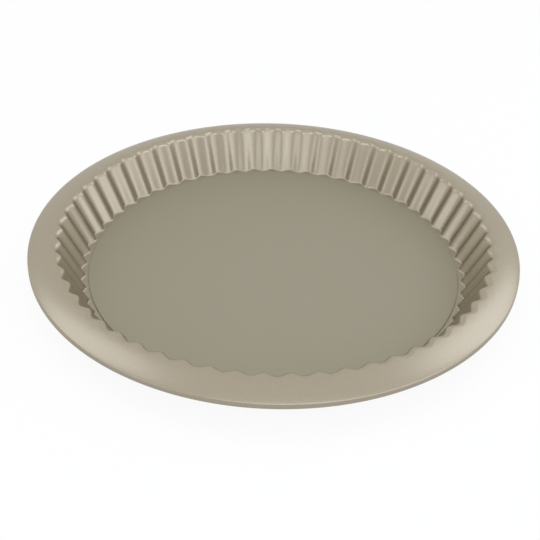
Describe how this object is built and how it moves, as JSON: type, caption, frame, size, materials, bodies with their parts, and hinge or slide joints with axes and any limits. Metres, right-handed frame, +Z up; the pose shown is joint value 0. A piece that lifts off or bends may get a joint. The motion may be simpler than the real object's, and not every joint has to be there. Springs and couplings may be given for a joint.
{
  "type": "fluted tart tin",
  "caption": "Round shallow tart tin: a fluted ring with a wide sloping rim and a turned-down lip, and a flat loose base that rests on the ring's inner ledge and lifts out.",
  "frame": {"origin": "on the table under the middle of the tin", "axes": "+Z up along the tin's axis, -Y towards the front of the picture, +X to its right"},
  "size_m": [0.3, 0.3, 0.0273],
  "materials": {
    "ring_coating": "satin champagne non-stick coating on pressed steel sheet",
    "base_coating": "satin champagne non-stick coating on flat steel sheet"
  },
  "bodies": {
    "ring": {"fluted_ring": "ring_coating"},
    "base": {"loose_base": "base_coating"}
  },
  "joints": [
    {"name": "base_lift", "type": "slide", "parent": "ring", "child": "base", "axis": [0, 0, 1], "range_m": [0, 0.06]}
  ]
}
